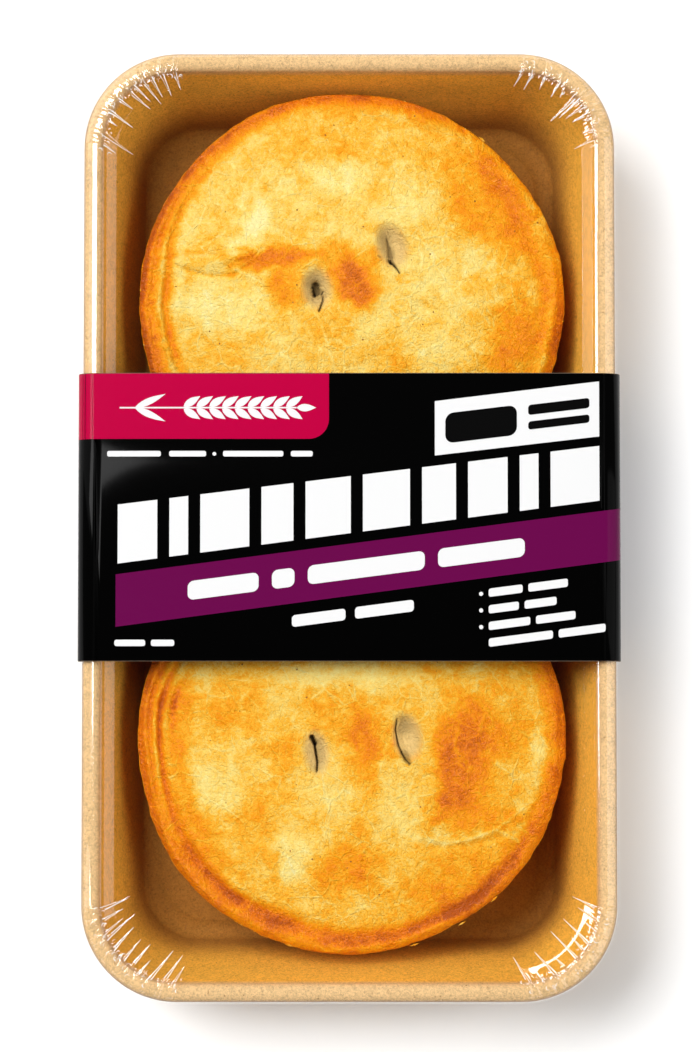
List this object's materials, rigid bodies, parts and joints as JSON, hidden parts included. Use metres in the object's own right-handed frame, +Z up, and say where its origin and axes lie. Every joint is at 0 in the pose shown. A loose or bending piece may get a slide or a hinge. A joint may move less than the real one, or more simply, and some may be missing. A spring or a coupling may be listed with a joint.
{
  "type": "sealed twin pack of round savoury pies",
  "caption": "Sealed retail pack of round meat pies: a rounded kraft board tray under clear shrink film, with a printed board sleeve round its middle.",
  "frame": {"origin": "middle of the pack's bounding box, on the surface that it stands on", "axes": "+Z up, +Y along the tray to the end that is at the top of the picture, +X across the tray to the picture's right"},
  "size_m": [0.1448, 0.2542, 0.0415],
  "materials": {
    "kraft_board": "matt moulded fibre, golden brown",
    "pie_crust": "baked golden pastry, satin where glazed",
    "clear_film": "thin glossy clear shrink film",
    "printed_card": "black satin coated board with colour fields"
  },
  "bodies": {
    "root": {"tray": "kraft_board", "pie_far": "pie_crust", "pie_near": "pie_crust", "film": "clear_film", "sleeve": "printed_card"}
  },
  "joints": []
}
